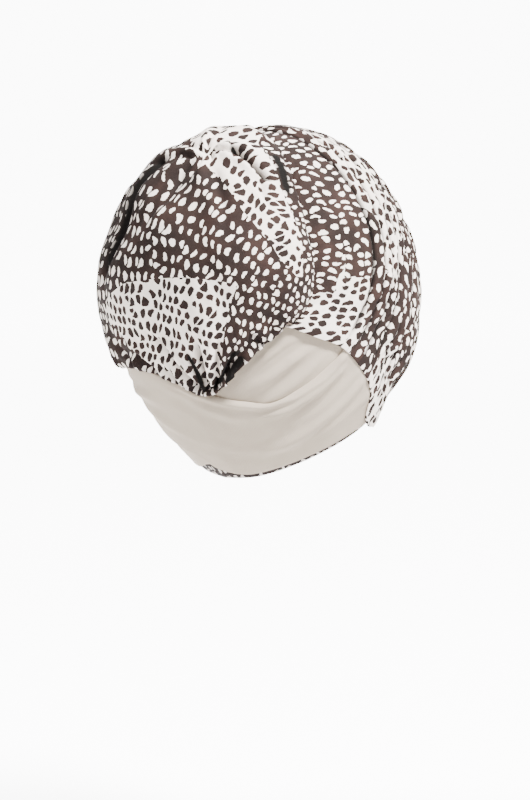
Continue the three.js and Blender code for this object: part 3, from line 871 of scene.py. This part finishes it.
def make_drape():
    """The front drape: its rolled pleats, the plainer panel behind them, and the edges on the bands."""
    place = np.array(PLEATS)
    steps = 0.5 - 0.5 * np.cos(np.pi * np.linspace(0, 1, 21))
    steps[-1] -= 1e-4
    pleats = [mix(p, q, steps) for p, q in zip(place[:-2], place[1:-1])]
    ear = np.concatenate(pleats + [np.linspace(place[-2], 1, 66)])
    half = np.linspace(0, 1, 238)
    e, h = np.meshgrid(ear, half, indexing="ij")
    wander = 0.011 * noise(h * 5, 0 * h, 61) + 0.006 * noise(h * 11 + e * 3, 0 * h + 4, 62)
    inner = smooth(e / 0.06) * smooth((1 - e) / 0.15)
    foot = np.minimum(h, 1 - h) * DRAPE_SPAN
    over = smooth(1 - foot / 20) * smooth((1 - e) / 0.06)
    base = off_head(hoop(np.clip(e + wander * inner, 0, 1), h), mix(drape_stand(e, h), LIP_STAND, over))
    n = normals(base)
    along = np.concatenate([np.zeros((1, e.shape[1])), np.cumsum(length(np.diff(base, axis=0)), 0)], 0)
    run = np.concatenate([np.zeros((e.shape[0], 1)), np.cumsum(length(np.diff(base, axis=1)), 1)], 1)
    run = run - run[:, [len(half) // 2]]
    i = np.clip(np.searchsorted(place, e.ravel(), side="right").reshape(e.shape) - 1, 0, len(place) - 2)
    sewn = smooth(np.sin(np.pi * h) / 0.12)
    fine = noise(along / 6.0 + 0.9 * noise(run / 34, along / 20, 71), run / 60, 72)
    finer = noise(along / 3.0, run / 26, 73)
    pleated = smooth((0.66 - e) / 0.05)
    height = pleated * (PLEAT_WRINKLES * puffs(fine) + 0.35 * finer)
    seam = (1 - e) * 100
    gathers = noise(run / 5.4 + 0.8 * noise(run / 25, seam / 14, 81), seam / 24, 82)
    strong = 0.35 + 0.75 * np.exp(-(((h - 0.33) / 0.12) ** 2)) + 0.6 * np.exp(-(((h - 0.67) / 0.12) ** 2))
    height += DRAPE_GATHERS * puffs(gathers) * np.exp(-seam / 14) * strong
    dents = PANEL_DENTS * noise(run / 30, along / 26, 83) + 0.35 * noise(run / 12, along / 10, 84)
    height += (1 - pleated) * dents
    tuck = np.exp(-(run.max(1, keepdims=True) - np.abs(run)) / 12)
    height += 0.9 * tuck * noise(along / 4.3, run / 30, 91)
    starts = np.stack([np.interp(place, ear, column) for column in along.T], 1)
    v = along - np.take_along_axis(starts, i, 0)
    rest = np.take_along_axis(starts, np.minimum(i + 1, len(place) - 1), 0) - along
    to_crease = np.where(i == 0, rest, np.where(i == len(place) - 2, v, np.minimum(v, rest)))
    groove = np.exp(-((to_crease / 1.3) ** 2)) * sewn
    # Painted shade along the creases between the pleats and in the valleys of the gathers and fine wrinkles
    crease_shade = np.exp(-((to_crease / 1.7) ** 2)) * sewn
    crease_shade = np.maximum(0.9 * crease_shade, 0.5 * valley(gathers) * np.exp(-seam / 14) * np.clip(strong, 0, 1))
    crease_shade = np.maximum(crease_shade, 0.35 * pleated * valley(fine))
    grid = base + n * (height * sewn * (1 - 0.6 * groove))[..., None] - unit(base) * groove[..., None]
    pale = np.full_like(e, -99.0)
    flat = np.stack([e * DRAPE_RUN, h * DRAPE_SPAN], -1)
    for outline in DRAPE_PATCHES:
        corners = np.array([(p * DRAPE_RUN, s * DRAPE_SPAN) for p, s in outline])
        pale = np.maximum(pale, inside_distance(flat, corners))
    side = i == len(place) - 2
    middle = 0.5 * (place[i] + place[i + 1])
    rows = np.searchsorted(ear, middle)
    held = run[rows, np.arange(len(half))]
    x = np.where(side, held, np.where(i < 2, along, v))
    y = np.where(side, v, held)
    own = np.maximum(i - 1, 0)
    fab = np.stack([x + 41.0 * own, y + 63.0 * own, 0 * e], -1)
    hem = np.stack([along, run, 0 * e], -1)
    lip = (SEAM_LIP + TIP_LIP * np.exp(-(((ear - 0.14) / 0.1) ** 2))) * smooth(0.15 + ear / 0.07)
    low, high = seam_lip(grid[:, 0], grid[:, 1], lip), seam_lip(grid[:, -1], grid[:, -2], lip)
    grid = np.concatenate([low[:, ::-1], grid, high], 1)
    step = np.zeros_like(low)
    step[..., 1] = lip[:, None] * LIP_STEPS
    fab = np.concatenate([fab[:, :1] - step[:, ::-1], fab, fab[:, -1:] + step], 1)
    added = ((0, 0), (low.shape[1], high.shape[1]))
    pale, crease_shade = np.pad(pale, added, mode="edge"), np.pad(crease_shade, added, mode="edge")
    hem = np.pad(hem, added + ((0, 0),), mode="edge")
    marks = {"fab": fab, "patch": pale, "hem": hem, "crease_shade": crease_shade}
    return cloth_sheet("front_drape_cloth", grid, marks, (PRINT, PRINT_BACK))


# Folds of the bands as lines of (along, up) places, with their rise and width in millimetres, the share of
# the hollow beside them, and the share of the line over which each end fades
UNDER_FOLDS = [
    ([(0.02, 0.5), (0.06, 0.6), (0.107, 0.66), (0.17, 0.69), (0.24, 0.72),
      (0.32, 0.74)], 2.8, 3.2, 0.6, 0.35, 0.4),
    ([(0.02, 0.78), (0.08, 0.83), (0.16, 0.86), (0.3, 0.88)], 1.3, 3.0, 0.5, 0.45, 0.5),
    ([(0.02, 0.36), (0.08, 0.44), (0.17, 0.5), (0.3, 0.56)], 1.6, 3.2, 0.5, 0.35, 0.5),
    ([(1.0, 0.6), (0.9, 0.5), (0.75, 0.45)], 2.0, 4.0, 0.4, 0.02, 0.6),
    ([(1.0, 0.3), (0.88, 0.27), (0.7, 0.25)], 1.8, 4.0, 0.4, 0.02, 0.6),
]
OVER_FOLDS = [
    ([(0.36, 0.985), (0.45, 0.975), (0.54, 0.965), (0.65, 0.96), (0.747, 0.955), (0.848, 0.95),
      (0.925, 0.95), (1.0, 0.96)], 2.6, 2.2, 0.5, 0.25, 0.06),
    ([(0.66, 0.84), (0.74, 0.83), (0.82, 0.84), (0.9, 0.86), (0.98, 0.88)], 2.4, 3.0, 0.6, 0.4, 0.1),
    ([(0.34, 0.93), (0.5, 0.87), (0.603, 0.82), (0.7, 0.78), (0.79, 0.76)], 1.5, 4.2, 0.4, 0.3, 0.4),
    ([(0.62, 0.22), (0.7, 0.3), (0.78, 0.38), (0.86, 0.46), (0.94, 0.53),
      (1.0, 0.57)], 2.6, 4.0, 0.5, 0.4, 0.08),
    ([(0.74, 0.5), (0.84, 0.6), (0.93, 0.67), (1.0, 0.7)], 1.6, 3.4, 0.5, 0.5, 0.08),
    ([(0.8, 0.2), (0.9, 0.3), (1.0, 0.36)], 1.3, 3.4, 0.5, 0.5, 0.08),
    ([(0.0, 0.45), (0.12, 0.55), (0.28, 0.6), (0.45, 0.6)], 1.9, 4.0, 0.5, 0.02, 0.5),
    ([(0.0, 0.7), (0.12, 0.76), (0.3, 0.8)], 1.6, 3.6, 0.5, 0.02, 0.5),
    ([(0.0, 0.2), (0.1, 0.34), (0.24, 0.42)], 1.6, 3.6, 0.5, 0.02, 0.5),
    ([(0.16, 0.4), (0.3, 0.34), (0.42, 0.3), (0.55, 0.3)], 1.1, 4.5, 0.4, 0.4, 0.5),
]


def band_chart(base):
    """A band laid flat, in millimetres: x along it and y across it from its middle."""
    along = np.concatenate([[0], np.cumsum(length(np.diff(base[:, base.shape[1] // 2], axis=0)))])
    up = np.concatenate([np.zeros((base.shape[0], 1)), np.cumsum(length(np.diff(base, axis=1)), 1)], 1)
    return np.stack([np.broadcast_to(along[:, None], up.shape), up - up[:, [-1]] * 0.5], -1)


def band_relief(chart, along, up, folds, seed):
    """Heights of a band's folds over its smooth form."""
    height = np.zeros(chart.shape[:-1])
    for line, rise, width, lean, start, end in folds:
        height += rise * fold(chart, chart_lines(chart, along, up, line), width, lean, start, end)
    x, y = chart[..., 0], chart[..., 1]
    height += 0.45 * noise(x / 42, y / 9 + 0.5 * noise(x / 30, y / 20, seed), seed + 1)
    ends = np.exp(-(x - x.min()) / 14) + np.exp(-(x.max() - x) / 14)
    height += 0.55 * ends * noise(x / 30, y / 4.0, seed + 2)
    sewn = smooth((np.minimum(x - x.min(), x.max() - x) + 3) / 14)
    return np.maximum(height, -0.9) * sewn


def band_base(edges, place, up, own, layer):
    """A band's smooth outer face, and its places on the nape; own is below 0 on the right."""
    across = place if own < 0 else 1 - place
    level = mix(curve(edges, place, "low"), curve(edges, place, "high"), up)
    stand = nape_stand(across, level) + layer * (CLOTH + LAYER_GAP)
    return off_head(nape_direction(across, level), stand), across, level


def make_band(name, edges, own, layer, folds, seed, under=None):
    """A band in its layer. Where it crosses the band below, it rises over that band's folds."""
    along, up = np.linspace(0, 1, 230), np.linspace(0, 1, 61)
    p, u = np.meshgrid(along, up, indexing="ij")
    base, across, level = band_base(edges, p, u, own, layer)
    chart = band_chart(base)
    height = band_relief(chart, along, up, folds, seed)
    if under is not None:
        low, high = curve(UNDER_EDGES, across, "low"), curve(UNDER_EDGES, across, "high")
        v = (level - low) / np.maximum(high - low, 1e-6)
        i = np.clip(across * (len(along) - 1), 0, len(along) - 1).astype(int)
        j = np.clip(v * (len(up) - 1), 0, len(up) - 1).astype(int)
        lift = np.where((v > -0.05) & (v < 1.05), np.maximum(under[i, j], 0), 0)
        for _ in range(6):
            wide = np.pad(lift, 1, mode="edge")
            around = wide[:-2, 1:-1] + wide[2:, 1:-1] + wide[1:-1, :-2] + wide[1:-1, 2:]
            lift = np.maximum(lift, around / 4)
        height = height + lift * 0.8
    outer = base + normals(base) * height[..., None]
    fab = np.concatenate([chart, np.zeros_like(chart[..., :1])], -1)
    obj = band_loft(name, outer, BAND_THICK, fab)
    obj.data.materials.append(STONE_JERSEY)
    return obj, height


crown = make_crown()
drape = make_drape()
band_right, under_height = make_band("band_right_cloth", UNDER_EDGES, -1, 1, UNDER_FOLDS, 101)
band_left, _ = make_band("band_left_cloth", OVER_EDGES, 1, 2, OVER_FOLDS, 131, under_height)

for piece, node, material_slot in (
    (crown, "crown", "printed_jersey"),
    (drape, "front_drape", "printed_jersey"),
    (band_right, "band_right", "plain_jersey"),
    (band_left, "band_left", "plain_jersey"),
):
    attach(piece, "root")
    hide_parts(node)

# The floor and backdrop, pale and plain, in metres
FLOOR = -0.42
SWEEP_START = 3.0
SWEEP_RADIUS = 1.2
SWEEP_TOP = 5.5
SWEEP_SIDE = 6.0
SWEEP_GLOW = 8.5
LOOK_TURN, LOOK_RISE = math.radians(220), math.radians(10)
LEVEL = math.cos(LOOK_RISE)
TO_CAMERA = Vector((math.sin(LOOK_TURN) * LEVEL, -math.cos(LOOK_TURN) * LEVEL, math.sin(LOOK_RISE)))
RIGHT = Vector((math.cos(LOOK_TURN), math.sin(LOOK_TURN), 0))
UP = TO_CAMERA.cross(RIGHT)
AWAY = Vector((-TO_CAMERA.x, -TO_CAMERA.y, 0)).normalized()


def studio_surface():
    """A floor that curves up into a backdrop and glows softly behind the object."""
    material = bpy.data.materials.new("studio white")
    t = Tree(material)
    principled = t.node("ShaderNodeBsdfPrincipled")
    principled.inputs["Base Color"].default_value = (0.93, 0.93, 0.93, 1)
    principled.inputs["Roughness"].default_value = 0.9
    principled.inputs["Emission Color"].default_value = (1, 1, 1, 1)
    position = t.node("ShaderNodeNewGeometry").outputs["Position"]
    place = t.vector("DOT_PRODUCT", position, tuple(AWAY))
    aside = t.math("ABSOLUTE", t.vector("DOT_PRODUCT", position, tuple(RIGHT)))
    lit = t.math("MULTIPLY", t.ramp(place, -0.02, 0.3), t.math("SUBTRACT", 1.0, t.ramp(aside, 0.7, 1.3)))
    t.join(t.math("MULTIPLY", lit, SWEEP_GLOW), principled.inputs["Emission Strength"])
    out = t.node("ShaderNodeOutputMaterial")
    t.join(principled.outputs[0], out.inputs[0])
    vertices, faces = [], []
    section = [(-SWEEP_SIDE, FLOOR)]
    for a in np.linspace(0, math.pi / 2, 13):
        rise = FLOOR + SWEEP_RADIUS - SWEEP_RADIUS * math.cos(a)
        section.append((SWEEP_START + SWEEP_RADIUS * math.sin(a), rise))
    section.append((SWEEP_START + SWEEP_RADIUS, SWEEP_TOP))
    for reach, height in section:
        for side in (-SWEEP_SIDE, SWEEP_SIDE):
            vertices.append(AWAY * reach + RIGHT * side + Vector((0, 0, height)))
    for k in range(len(section) - 1):
        faces.append((2 * k, 2 * k + 1, 2 * k + 3, 2 * k + 2))
    mesh = bpy.data.meshes.new("studio")
    mesh.from_pydata([tuple(v) for v in vertices], [], faces)
    mesh.polygons.foreach_set("use_smooth", [True] * len(mesh.polygons))
    obj = bpy.data.objects.new("studio", mesh)
    bpy.context.scene.collection.objects.link(obj)
    mesh.materials.append(material)


studio_surface()

# Soft studio light
WORLD_LIGHT = 0.48
KEY_WATTS, KEY_SIZE = 176, 0.35
FILL_WATTS, FILL_SIZE = 26, 1.0
world = bpy.data.worlds.new("studio light")
bpy.context.scene.world = world
world.use_nodes = True
world.node_tree.nodes["Background"].inputs[0].default_value = (1, 1, 1, 1)
world.node_tree.nodes["Background"].inputs[1].default_value = WORLD_LIGHT


def area_light(name, position, size, watts):
    """A round area light turned to the object; its size is in metres."""
    data = bpy.data.lights.new(name, "AREA")
    data.shape = "DISK"
    data.size = size
    data.energy = watts
    obj = bpy.data.objects.new(name, data)
    obj.location = position
    aim = Vector((0, 0.02, 0.02)) - Vector(position)
    obj.rotation_euler = aim.to_track_quat("-Z", "Y").to_euler()
    bpy.context.scene.collection.objects.link(obj)


area_light("key", TO_CAMERA * 0.6 + RIGHT * 0.75 + Vector((0, 0, 1.35)), KEY_SIZE, KEY_WATTS)
area_light("fill", TO_CAMERA * 1.4 - RIGHT * 1.0 + Vector((0, 0, 0.6)), FILL_SIZE, FILL_WATTS)

# The camera at the photograph's angle: its picture size in pixels, the pixel that shows the origin, and in
# metres the size of a pixel at the object and the distance to it
PICTURE_WIDTH, PICTURE_HEIGHT = 530, 800
ORIGIN_X, ORIGIN_Y = 286, 323
PIXEL = 0.00067
DISTANCE = 1.5
SENSOR = 36
camera_data = bpy.data.cameras.new("camera")
camera_data.sensor_fit = "VERTICAL"
camera_data.sensor_height = SENSOR
camera_data.lens = SENSOR * DISTANCE / (PICTURE_HEIGHT * PIXEL)
camera = bpy.data.objects.new("camera", camera_data)
aside, above = PICTURE_WIDTH / 2 - ORIGIN_X, ORIGIN_Y - PICTURE_HEIGHT / 2
aim = RIGHT * (aside * PIXEL) + UP * (above * PIXEL)
camera.location = aim + TO_CAMERA * DISTANCE
camera.rotation_euler = Matrix((RIGHT, UP, TO_CAMERA)).transposed().to_euler()
bpy.context.scene.collection.objects.link(camera)
bpy.context.scene.camera = camera
